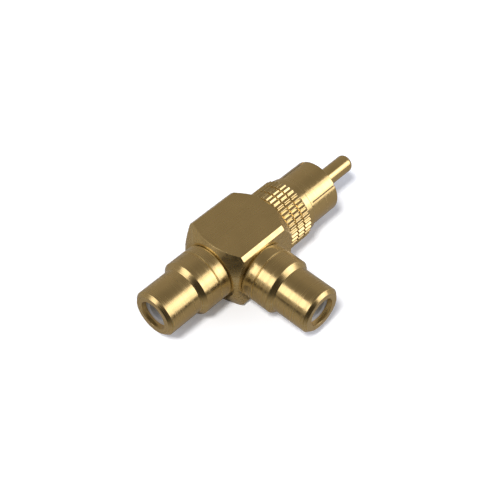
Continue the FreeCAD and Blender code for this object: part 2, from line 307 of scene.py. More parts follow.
def noise(tree, vector, scale, detail):
    """Smooth noise from 0 to 1."""
    node = tree.nodes.new("ShaderNodeTexNoise")
    node.inputs["Scale"].default_value = scale
    node.inputs["Detail"].default_value = detail
    tree.links.new(vector, node.inputs["Vector"])
    return node.outputs["Fac"]


def spread(tree, value, old_range, new_range):
    """Stretches a value from one range to another, with its ends held."""
    node = tree.nodes.new("ShaderNodeMapRange")
    for socket, number in zip(node.inputs[1:5], (*old_range, *new_range)):
        socket.default_value = number
    tree.links.new(value, node.inputs["Value"])
    return node.outputs["Result"]


def blend_colours(tree, share, first, second):
    """A mix of two colours by a share from 0 to 1."""
    node = tree.nodes.new("ShaderNodeMix")
    node.data_type = "RGBA"
    tree.links.new(share, node.inputs["Factor"])
    connect(tree, first, node.inputs["A"])
    connect(tree, second, node.inputs["B"])
    return node.outputs["Result"]


def bump(tree, height, strength, distance, below=None):
    """A Bump node, on top of another one where there is one."""
    node = tree.nodes.new("ShaderNodeBump")
    node.inputs["Strength"].default_value = strength
    node.inputs["Distance"].default_value = distance
    tree.links.new(height, node.inputs["Height"])
    if below is not None:
        tree.links.new(below, node.inputs["Normal"])
    return node.outputs["Normal"]


def stretched(tree, vector, scales):
    """The same coordinates, scaled by axis."""
    node = tree.nodes.new("ShaderNodeMapping")
    node.inputs["Scale"].default_value = scales
    tree.links.new(vector, node.inputs["Vector"])
    return node.outputs["Vector"]


print("helpers for materials made")

# %% [markdown]
# Gold plate is a thin bright skin on brass, and it shows whatever lies under it. On the
# turned pieces that is a fine spiral of tool marks, on the bar the long marks of drawing, and
# on all of them a faint clouding of the polish, tiny pits, and a paler line where handling has
# burnished an edge. The corners, grooves and joints get a painted shade: the gold is darkened
# where the surface curves inwards. Apart from these the base colour stays gold, and the marks
# and some broader bands change the roughness and the bump, because metal shows its wear in how
# it reflects more than in its colour. Gold that is mirrored in gold would turn orange, far more
# than in the photograph, so mirror rays meet a paler gold.

# %% Gold colours and tool marks
GOLD = (0.83, 0.56, 0.215)
BURNISHED_GOLD = (0.95, 0.74, 0.38)
MIRRORED_GOLD = (0.95, 0.84, 0.58)
NOISE_RANGE = (0.3, 0.7)
LINES_PER_MM = 9.0
BANDS_PER_MM = 2.3
CHANGES_ROUND = 40.0
DRAWN_SCALES = (120.0, 4200.0, 4200.0)
PIT_DEPTH = 0.004


def shade_of(colour, factor=1.0):
    """A lighter or darker shade, as a colour with alpha."""
    return (*(min(1.0, part * factor) for part in colour), 1.0)


def tool_lines(tree, coordinates):
    """Marks of the turning tool: they follow the way along the outline, and barely change round it."""
    path = tree.nodes.new("ShaderNodeUVMap")
    path.uv_map = "lathe"
    split = tree.nodes.new("ShaderNodeSeparateXYZ")
    tree.links.new(path.outputs["UV"], split.inputs[0])
    place = tree.nodes.new("ShaderNodeSeparateXYZ")
    tree.links.new(coordinates, place.inputs[0])
    join = tree.nodes.new("ShaderNodeCombineXYZ")
    tree.links.new(split.outputs["Y"], join.inputs[0])
    tree.links.new(math_node(tree, "MULTIPLY", place.outputs["Y"], CHANGES_ROUND), join.inputs[1])
    tree.links.new(math_node(tree, "MULTIPLY", place.outputs["Z"], CHANGES_ROUND), join.inputs[2])
    return join.outputs[0]


print("gold", GOLD, "and a paler gold in mirror rays", MIRRORED_GOLD)

# %% [markdown]
# The finish is put together from four noises. Clouds are the uneven polish, pits are tiny
# dents, marks are the lines of the tool, and bands are broader changes of gloss. One recipe
# makes six golds, which differ in how rough they are and how deep their lines go: the pin is
# the brightest, and the block and the contacts are the dullest.

# %% Gold
def gold_colour(tree, clouds, marks):
    """Clouded and streaked gold, paler on its edges and in mirror rays, with painted shade darkening its
    corners.
    """
    cloudy = spread(tree, clouds, NOISE_RANGE, (0.0, 1.0))
    tinted = blend_colours(tree, cloudy, shade_of(GOLD, 0.93), shade_of(GOLD, 1.04))
    in_streak = spread(tree, marks, (0.3, 0.75), (0.0, 0.2))
    streaked = blend_colours(tree, in_streak, tinted, shade_of(GOLD, 0.82))
    curve = tree.nodes.new("ShaderNodeNewGeometry").outputs["Pointiness"]
    on_edge = spread(tree, curve, (0.51, 0.58), (0.0, 0.3))
    worn = blend_colours(tree, on_edge, streaked, shade_of(BURNISHED_GOLD))
    # Painted shade: where the surface curves inwards, in grooves, joints and corners, the gold is blended
    # up to seven tenths of the way to half its brightness.
    painted_corner_shade = spread(tree, curve, (0.40, 0.48), (0.7, 0.0))
    corner_shaded = blend_colours(tree, painted_corner_shade, worn, shade_of(GOLD, 0.5))
    mirrored = tree.nodes.new("ShaderNodeLightPath").outputs["Is Glossy Ray"]
    return blend_colours(tree, mirrored, corner_shaded, shade_of(MIRRORED_GOLD))


def gold_gloss(tree, roughness, clouds, marks, bands):
    """The roughness, a little changed by the clouds, the fine marks and the broader bands."""
    cloudy = spread(tree, clouds, NOISE_RANGE, (roughness - 0.03, roughness + 0.04))
    lined = spread(tree, marks, NOISE_RANGE, (-0.03, 0.05))
    banded = spread(tree, bands, NOISE_RANGE, (-0.06, 0.06))
    return math_node(tree, "ADD", cloudy, math_node(tree, "ADD", lined, banded))


def gold(name, roughness, lines, line_depth):
    """Gold plate over brass, with the marks of how the brass was worked."""
    material, tree, shader = new_material(name)
    shader.inputs["Metallic"].default_value = 1.0
    coordinates = tree.nodes.new("ShaderNodeTexCoord").outputs["Object"]
    clouds = noise(tree, coordinates, scale=260.0, detail=3.0)
    pits = noise(tree, coordinates, scale=5200.0, detail=2.0)
    if lines == "turned":
        way = tool_lines(tree, coordinates)
        marks = noise(tree, stretched(tree, way, (LINES_PER_MM, 1.0, 1.0)), scale=1.0, detail=4.0)
        bands = noise(tree, stretched(tree, way, (BANDS_PER_MM, 1.0, 1.0)), scale=1.0, detail=1.0)
    else:
        marks = noise(tree, stretched(tree, coordinates, DRAWN_SCALES), scale=1.0, detail=3.0)
        bands = noise(tree, coordinates, scale=1200.0, detail=2.0)
    tree.links.new(gold_colour(tree, clouds, marks), shader.inputs["Base Color"])
    tree.links.new(gold_gloss(tree, roughness, clouds, marks, bands), shader.inputs["Roughness"])
    fine = bump(tree, pits, strength=0.12, distance=PIT_DEPTH * MM)
    lined = bump(tree, marks, strength=0.6, distance=line_depth * MM, below=fine)
    tree.links.new(lined, shader.inputs["Normal"])
    return material


gold_block = gold("gold_block", roughness=0.24, lines="drawn", line_depth=0.0006)
gold_shell = gold("gold_shell", roughness=0.22, lines="turned", line_depth=0.006)
gold_collar = gold("gold_collar", roughness=0.19, lines="turned", line_depth=0.004)
gold_barrel = gold("gold_barrel", roughness=0.19, lines="turned", line_depth=0.002)
gold_pin = gold("gold_pin", roughness=0.14, lines="turned", line_depth=0.002)
gold_contact = gold("gold_contact", roughness=0.25, lines="turned", line_depth=0.003)
print("six gold finishes")

# %% [markdown]
# The insulators are moulded from a hard white plastic. It is matt, it lets a little light
# in under its skin, and its surface has the fine orange-peel texture of the mould. A
# Principled shader with a small amount of subsurface does that, with noise for the texture.

# %% White plastic
DIM_WHITE = (0.74, 0.72, 0.66)
CLEAN_WHITE = (0.82, 0.80, 0.75)
PEEL_DEPTH = 0.01


def plastic(name):
    """Hard white moulded plastic."""
    material, tree, shader = new_material(name)
    coordinates = tree.nodes.new("ShaderNodeTexCoord").outputs["Object"]
    cloudy = spread(tree, noise(tree, coordinates, scale=300.0, detail=2.0), NOISE_RANGE, (0.0, 1.0))
    peel = noise(tree, coordinates, scale=4200.0, detail=2.0)
    colour = blend_colours(tree, cloudy, shade_of(DIM_WHITE), shade_of(CLEAN_WHITE))
    tree.links.new(colour, shader.inputs["Base Color"])
    tree.links.new(spread(tree, peel, NOISE_RANGE, (0.38, 0.52)), shader.inputs["Roughness"])
    shader.inputs["Subsurface Weight"].default_value = 0.05
    shader.inputs["Subsurface Radius"].default_value = (0.0006, 0.0005, 0.0004)
    tree.links.new(bump(tree, peel, strength=0.25, distance=PEEL_DEPTH * MM), shader.inputs["Normal"])
    return material


white_plastic = plastic("white_plastic")
print("one white plastic")

# %% [markdown]
# The block is cut from drawn square bar with its long edges broken. It could be a bevelled
# cube, but its ends are turned, and they cut the flats in curves that no bevel makes. So it is
# a spun mesh like the others, whose outer radius follows the bar's eight-sided section. It has
# more columns of points beside the eight corners, where the radius changes quickly.

# %% The bar's section
block_half = axis_height
edge_break = 0.7
bar_rounding = 0.09
even_columns = 120
steps_beside_corner = (0.0, 0.35, 0.7, 1.1, 1.6, 2.2, 3.0)
least_step = 0.2


def corner_angle(number):
    """The angle of one of the eight corners of the bar's section."""
    quarter, side = divmod(number, 2)
    from_flat = math.atan2(block_half - edge_break, block_half)
    return from_flat * (1 if side else -1) + quarter * math.pi / 2


def bar_radius(angle):
    """Distance from the axis to the bar's surface, with its long edges slightly rounded."""
    turned = (angle + math.pi / 4) % (math.pi / 2) - math.pi / 4
    flat = block_half / math.cos(turned)
    across = (2 * block_half - edge_break) / math.sqrt(2)
    edge = across / math.cos(math.pi / 4 - abs(turned))
    gap = max(bar_rounding - abs(flat - edge), 0.0) / bar_rounding
    return min(flat, edge) - gap * gap * bar_rounding / 4


def block_angles():
    """Even angles, and closer ones beside the bar's eight corners."""
    angles = set(even_angles(even_columns))
    for number in range(8):
        corner = corner_angle(number) % TURN
        for step in steps_beside_corner:
            angles.add((corner - math.radians(step)) % TURN)
            angles.add((corner + math.radians(step)) % TURN)
    ordered = sorted(angles)
    kept = [ordered[0]]
    for angle in ordered[1:]:
        if angle - kept[-1] > math.radians(least_step):
            kept.append(angle)
    return kept


print("bar", 2 * block_half, "mm across the flats,", len(block_angles()), "columns")

# %% [markdown]
# Both ends of the bar are faced and coned on the lathe. The cone bites deep at the corners of
# the bar and hardly at the flats, which gives the curved edges that catch the eye. The plug's
# end is coned less than the other, and there the flats run right up to the end face. The bore
# has a wide step for the shell at one end and for the collar at the other.

# %% The block
inline_face_radius = 5.45
inline_cone_rise = math.tan(math.radians(33))
plug_face_radius = 6.3
plug_cone_rise = math.tan(math.radians(51))
least_bevel = 0.05
shell_spigot = extent("inline_socket_shell", 0)[1] - block_back
collar_spigot = block_front - extent("plug_collar", 0)[0]
shell_hole = 4.22
collar_hole = 4.62
through_bore = 3.4


def block_outline(angle):
    """The block's section at one angle: outside from end to end, then back along the bore."""
    outside = bar_radius(angle)
    inline_bite = (outside - inline_face_radius) * inline_cone_rise
    plug_bite = max((outside - plug_face_radius) * plug_cone_rise, least_bevel)
    plug_face = min(plug_face_radius, outside - least_bevel)
    return [
        (block_back, shell_hole, CRISP), (block_back, inline_face_radius, EASED),
        (block_back + inline_bite, outside, EASED), (block_front - plug_bite, outside, EASED),
        (block_front, plug_face, EASED),
        (block_front, collar_hole, CRISP), (block_front - collar_spigot, collar_hole),
        (block_front - collar_spigot, through_bore), (block_back + shell_spigot, through_bore),
        (block_back + shell_spigot, shell_hole)]


block = spin("block", block_outline, block_angles(), to_axis)
print("block", len(block.data.polygons), "faces before the side hole")

# %% [markdown]
# The side socket's hole crosses the bore, so no spun outline can hold them both. It is the
# one place where a Boolean is the plain way: a turned cutter in the shape of the drill is
# taken away from the block.

# %% The side hole
side_bore = 3.1
past_the_wall = 1.0

side_cut = lathe("side_cut", [
    (-shell_spigot - block_half, 0), (-shell_spigot - block_half, side_bore),
    (-shell_spigot, side_bore), (-shell_spigot, shell_hole), (past_the_wall, shell_hole),
    (past_the_wall, 0)], port_places["side"], columns=96)
cutter = block.modifiers.new("side hole", "BOOLEAN")
cutter.operation = "DIFFERENCE"
cutter.solver = "EXACT"
cutter.object = side_cut
bpy.context.view_layer.update()
cut_block = bpy.data.meshes.new_from_object(block.evaluated_get(bpy.context.evaluated_depsgraph_get()))
block.modifiers.clear()
block.data = cut_block
cut_block.name = "block"
turn_outwards(cut_block)
bpy.data.objects.remove(side_cut)
block.data.materials.clear()
block.data.materials.append(gold_block)
print("block", len(block.data.polygons), "faces")

# %% [markdown]
# Both sockets use the same turned shell: a thin neck at the block, a wide ring with one fine
# groove, a cone, and the standard mouth with a bevelled lip. The inside is bored out for the
# insulator, and a thin wall is left at the mouth. One outline makes them both.

# %% The socket shells
shell_length = block_back - extent("inline_socket_shell", 0)[0]
ring_radius = (extent("inline_socket_shell", 2)[1] - extent("inline_socket_shell", 2)[0]) / 2
neck_radius = 4.55
neck_length = 0.1
ring_edge = 0.12
groove_place = 2.2
groove_half = 0.15
groove_depth = 0.22
shoulder_place = 5.35
shoulder_length = 0.8
lip_bevel = 0.55
mouth_hole = 2.55
mouth_wall = 1.0
shell_bore = 3.1
spigot_radius = 4.2

shell_outline = [
    (-shell_spigot, shell_bore), (-shell_spigot, spigot_radius), (0, spigot_radius),
    (0, neck_radius), (neck_length, neck_radius),
    (neck_length, ring_radius - ring_edge, SHARP), (neck_length + ring_edge, ring_radius, FINE),
    (groove_place - groove_half, ring_radius, CRISP),
    (groove_place, ring_radius - groove_depth, SHARP),
    (groove_place + groove_half, ring_radius, CRISP),
    (shoulder_place, ring_radius, SOFT), (shoulder_place + shoulder_length, mouth_radius, SOFT),
    (shell_length - lip_bevel, mouth_radius, SOFT), (shell_length, mouth_radius - lip_bevel, SOFT),
    (shell_length, mouth_hole, SOFT), (shell_length - mouth_wall, mouth_hole, CRISP),
    (shell_length - mouth_wall, shell_bore)]
shells = {port: lathe(port + "_shell", shell_outline, place) for port, place in port_places.items()}
for shell in shells.values():
    shell.data.materials.append(gold_shell)

# %% [markdown]
# Inside each shell sits a plastic sleeve that guides the plug's pin. From outside only its
# white face and its dark hole show, in the mouth of the shell. It is another turned outline.

# %% The socket insulators
front = shell_length - mouth_wall
press_gap = 0.02
entry_radius = 1.75
entry_length = 2.0
chamber_radius = 2.3

insulator_outline = [
    (-shell_spigot, chamber_radius), (-shell_spigot, shell_bore - press_gap),
    (front, shell_bore - press_gap, SHARP), (front, entry_radius, ROUND),
    (front - entry_length, entry_radius, SHARP), (front - entry_length, chamber_radius)]
insulators = {
    port: lathe(port + "_insulator", insulator_outline, place, columns=128)
    for port, place in port_places.items()}
for insulator in insulators.values():
    insulator.data.materials.append(white_plastic)

# %% [markdown]
# The spring contacts and the barrel of the plug are tubes with saw slots. A slot could be cut
# by hand with a Boolean each, but the slots stand at even turns, and that is a rule: one thin
# box, repeated round the axis and taken away. So a tree of Geometry Nodes does it, and its
# named inputs let the thin contacts and the wide barrel share it.

# %% The tree that saws slots
def slot_tree(name, material):
    """Thin boxes at even turns round the X axis, taken away from a turned tube."""
    tree = new_tree(name, [
        ("Slots", "Int"), ("Slot Width", "Float"), ("Slot Start", "Float"), ("Slot End", "Float"),
        ("Reach", "Float"), ("Turn", "Float")])
    given = tree.nodes.new("NodeGroupInput").outputs
    size = tree.nodes.new("ShaderNodeCombineXYZ")
    connect(tree, math_node(tree, "SUBTRACT", given["Slot End"], given["Slot Start"]), size.inputs[0])
    connect(tree, given["Slot Width"], size.inputs[1])
    connect(tree, given["Reach"], size.inputs[2])
    blade = tree.nodes.new("GeometryNodeMeshCube")
    connect(tree, size.outputs[0], blade.inputs["Size"])
    middle = math_node(tree, "ADD", given["Slot End"], given["Slot Start"])
    shift = tree.nodes.new("ShaderNodeCombineXYZ")
    connect(tree, math_node(tree, "MULTIPLY", middle, 0.5), shift.inputs[0])
    connect(tree, math_node(tree, "MULTIPLY", given["Reach"], 0.5), shift.inputs[2])
    moved = tree.nodes.new("GeometryNodeTransform")
    connect(tree, blade.outputs["Mesh"], moved.inputs["Geometry"])
    connect(tree, shift.outputs[0], moved.inputs["Translation"])
    spots = tree.nodes.new("GeometryNodePoints")
    connect(tree, given["Slots"], spots.inputs["Count"])
    turns = math_node(tree, "DIVIDE", TURN, given["Slots"])
    place = math_node(tree, "MULTIPLY", tree.nodes.new("GeometryNodeInputIndex").outputs[0], turns)
    rotation = tree.nodes.new("ShaderNodeCombineXYZ")
    connect(tree, math_node(tree, "ADD", place, given["Turn"]), rotation.inputs[0])
    blades = tree.nodes.new("GeometryNodeInstanceOnPoints")
    connect(tree, spots.outputs[0], blades.inputs["Points"])
    connect(tree, moved.outputs[0], blades.inputs["Instance"])
    connect(tree, rotation.outputs[0], blades.inputs["Rotation"])
    real = tree.nodes.new("GeometryNodeRealizeInstances")
    connect(tree, blades.outputs[0], real.inputs[0])
    saw = tree.nodes.new("GeometryNodeMeshBoolean")
    saw.operation = "DIFFERENCE"
    saw.solver = "EXACT"
    connect(tree, given["Geometry"], saw.inputs["Mesh 1"])
    connect(tree, real.outputs[0], saw.inputs["Mesh 2"])
    finish_tree(tree, saw.outputs["Mesh"], material)
    return tree


contact_tree = slot_tree("contact slots", gold_contact)
barrel_tree = slot_tree("barrel slots", gold_barrel)
print("slot tree with", len(contact_tree.nodes), "nodes")

# %% [markdown]
# Behind each plastic sleeve a spring contact grips the pin of the other plug. It is a slotted
# tube on a solid base, with a thin tail that is pressed into the hub. Only the mouth of the
# tube can be seen, deep in the hole, but a socket needs all of it, so all of it is made.

# %% The spring contacts
contact_wall = 0.4
contact_depth = 2.1
contact_room = 0.1
contact_front = front - entry_length - contact_room
contact_outside = contact_bore + contact_wall
slots = 4
slot_length = 5.0
slot_width = 0.3
saw_overrun = 0.5
tail_radius = 0.8
base_radius = chamber_radius - press_gap
hub_half = extent("centre_hub", 0)[1]
tail_ends = {
    "inline": extent("inline_socket_contact", 0)[1] - block_back,
    "side": extent("side_socket_contact", 1)[1] + block_half}
base_ends = {"inline": -hub_half - block_back, "side": block_half - hub_half}


def make_contact(port):
    """The spring tube with its base and tail, slotted and put in its port."""
    base = -base_ends[port]
    tail = -tail_ends[port]
    tube = lathe(port + "_contact", [
        (tail, 0), (tail, tail_radius), (base, tail_radius), (base, base_radius),
        (-contact_depth, base_radius), (-contact_depth, contact_outside),
        (contact_front, contact_outside, SOFT), (contact_front, contact_bore, BROKEN),
        (-contact_depth, contact_bore), (-contact_depth, 0)], Matrix.Identity(4), columns=96)
    return apply_tree(tube, contact_tree, {
        "Slots": slots, "Slot Width": slot_width * MM, "Slot Start": (contact_front - slot_length) * MM,
        "Slot End": (contact_front + saw_overrun) * MM, "Reach": chamber_radius * MM, "Turn": 0.0},
        port_places[port])


contacts = {port: make_contact(port) for port in port_places}

# %% [markdown]
# The collar is the grip of the plug. A wheel has pressed straight V cuts into it, with
# rounded ridges and roots, and two thin grooves part the knurl into three bands. Ridges could
# be copies of one tooth, but they would have to be joined to the turned body. Instead the
# collar is spun plain, with sixteen columns for each ridge, and a tree moves its points: the
# closer a point lies to the blank's outside, the more it follows the ridges, so the grooves,
# the neck and the nose stay as the lathe left them. The roundings are shares of half a ridge,
# and the flanks between them keep the tilt that the depth of the sharp cut gives.

# %% The knurl tree
WHOLE_TURNS = 100.0


def rounded_off(tree, reach, rounding):
    """What a rounding takes off a sharp corner: a parabola that starts where the reach is zero."""
    past = math_node(tree, "MAXIMUM", reach, 0.0)
    return math_node(
        tree, "DIVIDE", math_node(tree, "MULTIPLY", past, past), math_node(tree, "MULTIPLY", rounding, 2.0))


def knurl_tree(material):
    """Radial rule: the outside of the blank becomes ridges, and its grooves stay round."""
    tree = new_tree("knurl", [
        ("Ridges", "Int"), ("Ridge Radius", "Float"), ("Depth", "Float"), ("Crest Rounding", "Float"),
        ("Root Rounding", "Float"), ("Blank Radius", "Float"), ("Root Radius", "Float"), ("Turn", "Float")])
    given = tree.nodes.new("NodeGroupInput").outputs
    position = tree.nodes.new("GeometryNodeInputPosition")
    split = tree.nodes.new("ShaderNodeSeparateXYZ")
    connect(tree, position.outputs[0], split.inputs[0])
    side = math_node(tree, "MULTIPLY", split.outputs["Y"], -1.0)
    angle = math_node(tree, "ARCTAN2", side, split.outputs["Z"])
    squares = math_node(
        tree, "ADD", math_node(tree, "MULTIPLY", side, side),
        math_node(tree, "MULTIPLY", split.outputs["Z"], split.outputs["Z"]))
    radius = math_node(tree, "SQRT", squares)
    turned = math_node(tree, "SUBTRACT", angle, given["Turn"])
    pitches = math_node(tree, "MULTIPLY", math_node(tree, "DIVIDE", turned, TURN), given["Ridges"])
    phase = math_node(tree, "FRACT", math_node(tree, "ADD", pitches, WHOLE_TURNS))
    slope = math_node(tree, "SUBTRACT", math_node(tree, "MULTIPLY", phase, 2.0), 1.0)
    height = math_node(tree, "SUBTRACT", 1.0, math_node(tree, "ABSOLUTE", slope))
    near_crest = math_node(tree, "SUBTRACT", math_node(tree, "ADD", height, given["Crest Rounding"]), 1.0)
    shaved = rounded_off(tree, near_crest, given["Crest Rounding"])
    near_root = math_node(tree, "SUBTRACT", given["Root Rounding"], height)
    filled = rounded_off(tree, near_root, given["Root Rounding"])
    soft = math_node(tree, "ADD", math_node(tree, "SUBTRACT", height, shaved), filled)
    top = math_node(tree, "SUBTRACT", 1.0, math_node(tree, "MULTIPLY", given["Crest Rounding"], 0.5))
    missing = math_node(tree, "SUBTRACT", top, soft)
    ridge = math_node(
        tree, "SUBTRACT", given["Ridge Radius"], math_node(tree, "MULTIPLY", missing, given["Depth"]))
    share = tree.nodes.new("ShaderNodeMapRange")
    connect(tree, radius, share.inputs["Value"])
    connect(tree, given["Root Radius"], share.inputs["From Min"])
    connect(tree, given["Blank Radius"], share.inputs["From Max"])
    follow = math_node(tree, "SUBTRACT", ridge, given["Blank Radius"])
    wanted = math_node(
        tree, "ADD", radius, math_node(tree, "MULTIPLY", share.outputs["Result"], follow))
    scale = math_node(tree, "DIVIDE", wanted, radius)
    scaled = tree.nodes.new("ShaderNodeCombineXYZ")
    connect(tree, split.outputs["X"], scaled.inputs[0])
    connect(tree, math_node(tree, "MULTIPLY", split.outputs["Y"], scale), scaled.inputs[1])
    connect(tree, math_node(tree, "MULTIPLY", split.outputs["Z"], scale), scaled.inputs[2])
    moved = tree.nodes.new("GeometryNodeSetPosition")
    connect(tree, given["Geometry"], moved.inputs["Geometry"])
    connect(tree, scaled.outputs[0], moved.inputs["Position"])
    finish_tree(tree, moved.outputs[0], material)
    return tree


collar_tree = knurl_tree(gold_collar)
print("knurl tree with", len(collar_tree.nodes), "nodes")

# %% [markdown]
# The blank of the collar is spun a little wider than the finished ridges, and the tree pulls
# it in to them. The cone in front of the knurl has a few rings of points more than it needs,
# so that the ridges run out on it in clean lines.

# %% The collar
collar_neck_radius = 5.2
collar_neck_length = 0.62
knurl_radius = (extent("plug_collar", 1)[1] - extent("plug_collar", 1)[0]) / 2
blank_room = 0.05
blank_radius = knurl_radius + blank_room
knurl_length = 4.84
knurl_depth = 0.4
ridge_rounding = 0.3
ridges = 40
columns_per_ridge = 16
knurl_turn = math.radians(6.2)
band_grooves = (1.63, 3.29)
band_groove_half = 0.135
band_groove_depth = 0.45
band_lip_rounding = 0.06
cone_length = 0.34
cone_rings = (0.25, 0.5, 0.75)
nose_radius = 5.15
nose_rounding = 0.2
nose_end = extent("plug_collar", 0)[1] - block_front
barrel_seat = 3.0
barrel_hole = 4.47
collar_spigot_radius = 4.6


def collar_outline(angle):
    """The turned blank, from the spigot over the neck, the knurl and the nose, and back inside."""
    knurl_end = collar_neck_length + knurl_length
    corners = [
        (-collar_spigot, through_bore), (-collar_spigot, collar_spigot_radius),
        (0, collar_spigot_radius), (0, collar_neck_radius), (collar_neck_length, collar_neck_radius, SHARP),
        (collar_neck_length, blank_radius, ROUND)]
    for place in band_grooves:
        left = collar_neck_length + place - band_groove_half
        right = collar_neck_length + place + band_groove_half
        bottom = knurl_radius - band_groove_depth
        corners += [(left, blank_radius, band_lip_rounding), (left, bottom, SHARP),
                    (right, bottom, SHARP), (right, blank_radius, band_lip_rounding)]
    corners.append((knurl_end, blank_radius, CRISP))
    for step in cone_rings:
        radius = blank_radius + (nose_radius - blank_radius) * step
        corners.append((knurl_end + cone_length * step, radius))
    corners += [
        (knurl_end + cone_length, nose_radius, FINE), (nose_end, nose_radius, nose_rounding),
        (nose_end, barrel_hole, SHARP), (nose_end - barrel_seat, barrel_hole),
        (nose_end - barrel_seat, through_bore)]
    return corners


collar_angles = even_angles(ridges * columns_per_ridge, knurl_turn)
collar = spin("collar", collar_outline, collar_angles, Matrix.Identity(4))
apply_tree(collar, collar_tree, {
    "Ridges": ridges, "Ridge Radius": knurl_radius * MM, "Depth": knurl_depth * MM,
    "Crest Rounding": ridge_rounding, "Root Rounding": ridge_rounding,
    "Blank Radius": blank_radius * MM, "Root Radius": collar_neck_radius * MM, "Turn": knurl_turn},
    plug_place)

# %% [markdown]
# The barrel of the plug grips the outside of a socket. It is a thin tube, turned from the same
# bar, with four saw cuts from its front edge so that it can spring open. The saw tree from
# the contacts cuts it, with other sizes.

# %% The barrel
barrel_radius = (extent("plug_barrel", 2)[1] - extent("plug_barrel", 2)[0]) / 2
barrel_front = extent("plug_barrel", 0)[1] - block_front
barrel_clearance = 0.075
barrel_bore = mouth_radius + barrel_clearance
flange_recess = 0.11
flange_front = nose_end - flange_recess
flange_thickness = 0.7
flange_back = flange_front - flange_thickness
barrel_slot_width = 0.25
barrel_slot_root = 0.46
barrel_turn = math.radians(53)

barrel = lathe("barrel", [
    (nose_end - barrel_seat, through_bore), (nose_end - barrel_seat, barrel_hole - press_gap),
    (nose_end, barrel_hole - press_gap), (nose_end, barrel_radius, CRISP),
    (barrel_front, barrel_radius, ROUND), (barrel_front, barrel_bore, ROUND),
    (flange_back, barrel_bore), (flange_back, through_bore)], Matrix.Identity(4), columns=256)
apply_tree(barrel, barrel_tree, {
    "Slots": slots, "Slot Width": barrel_slot_width * MM, "Slot Start": (nose_end + barrel_slot_root) * MM,
    "Slot End": (barrel_front + saw_overrun) * MM, "Reach": (barrel_radius + saw_overrun) * MM,
    "Turn": barrel_turn}, plug_place)

# %% [markdown]
# The pin is a plain rod with a rounded tip, and it stands in a white insulator whose flange
# closes the bottom of the barrel. Both are turned outlines.

# %% The plug's insulator and pin
shank_radius = 1.2
pin_front = extent("plug_pin", 0)[1] - block_front
pin_back = extent("plug_pin", 0)[0] - block_front
tip_round = 0.8
tip_steps = 10

plug_insulator = lathe("plug_core", [
    (-collar_spigot, shank_radius + press_gap), (-collar_spigot, through_bore - press_gap),
    (flange_back, through_bore - press_gap), (flange_back, barrel_bore - press_gap),
    (flange_front, barrel_bore - press_gap, FINE), (flange_front, shank_radius + press_gap)],
    plug_place, columns=128)
plug_insulator.data.materials.append(white_plastic)


def pin_tip():
    """Points of the rounded tip, a quarter circle from the side of the pin to its flat end."""
    centre = Vector((pin_front - tip_round, pin_radius - tip_round))
    steps = [math.pi / 2 * i / tip_steps for i in range(tip_steps + 1)]
    return [(centre.x + tip_round * math.sin(a), centre.y + tip_round * math.cos(a)) for a in steps]


pin = lathe("pin", [
    (pin_back, 0), (pin_back, shank_radius, FINE), (flange_front, shank_radius),
    (flange_front, pin_radius, BROKEN), *pin_tip(), (pin_front, 0)], plug_place, columns=96)
pin.data.materials.append(gold_pin)

# %% [markdown]
# Two solids stay as the frame gives them: the hub that joins the three centre conductors,
# and the plastic sleeve round it. They lie inside the block, where no view reaches, and only
# need their materials. The gold's turning lines read a UV map, so the hub gets one as well.

# %% The hidden pieces
hub = frame["nodes"]["centre_hub"]
if "lathe" not in hub.data.uv_layers:
    hub.data.uv_layers.new(name="lathe")
hidden_finishes = {"centre_hub": gold_contact, "hub_sleeve": white_plastic}
for node, material in hidden_finishes.items():
    solid = frame["nodes"][node]
    solid.data.materials.clear()
    solid.data.materials.append(material)
print("hidden solids:", sorted(hidden_finishes))

# %% [markdown]
# Each finished piece now takes the place of its solid in the frame and is tied to it. All of
# the splitter is one rigid body, because a plug adaptor has nothing that moves.

# %% Pieces and the solids they stand for
stand_ins = [
    (block, "body_block", "gold_block"),
    (collar, "plug_collar", "gold_collar"),
    (barrel, "plug_barrel", "gold_barrel"),
    (plug_insulator, "plug_insulator", "white_plastic"),
    (pin, "plug_pin", "gold_pin")]
for port in port_places:
    stand_ins.append((shells[port], port + "_socket_shell", "gold_shell"))
    stand_ins.append((insulators[port], port + "_socket_insulator", "white_plastic"))
    stand_ins.append((contacts[port], port + "_socket_contact", "gold_contact"))
for piece, node, slot in stand_ins:
    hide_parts(node)
    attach(piece, "root")
print(len(stand_ins), "pieces tied to the frame")

# %% [markdown]
# The splitter lies on a plain table. Light Path lets the camera and glass rays see it white,
# with its full soft shadow. The gold's mirror rays see a grey table that fades into the dark
# on the camera's side, because the photograph shows nearly black reflections there. It
# throws no more light on the metal than a grey table would.

# %% The floor
WHITE = (1.0, 1.0, 1.0)
floor_size = 3.0
table_colour = 0.27
dark_colour = 0.03
dark_to_grey = (-0.055, -0.026)
seen_colour = 0.95
seen_lift = 0.13
mirror_lift = 0.02
floor_mesh = bpy.data.meshes.new("floor")
corner = floor_size / 2
floor_mesh.from_pydata(
    [(-corner, -corner, 0), (corner, -corner, 0), (corner, corner, 0), (-corner, corner, 0)],
    [], [(0, 1, 2, 3)])
floor = bpy.data.objects.new("floor", floor_mesh)
bpy.context.scene.collection.objects.link(floor)
floor_paint, floor_tree, floor_shader = new_material("table")
rays = floor_tree.nodes.new("ShaderNodeLightPath").outputs
seen = math_node(floor_tree, "ADD", rays["Is Camera Ray"], rays["Is Transmission Ray"])
table_place = floor_tree.nodes.new("ShaderNodeSeparateXYZ")
floor_tree.links.new(floor_tree.nodes.new("ShaderNodeTexCoord").outputs["Object"], table_place.inputs[0])
beyond = math_node(floor_tree, "ADD", table_place.outputs["X"], table_place.outputs["Y"])
grey = spread(floor_tree, beyond, dark_to_grey, (dark_colour, table_colour))
table_paint = blend_colours(floor_tree, seen, grey, shade_of(WHITE, seen_colour))
floor_tree.links.new(table_paint, floor_shader.inputs["Base Color"])
floor_shader.inputs["Roughness"].default_value = 0.9
floor_shader.inputs["Specular IOR Level"].default_value = 0.0
floor_shader.inputs["Emission Color"].default_value = shade_of(WHITE)
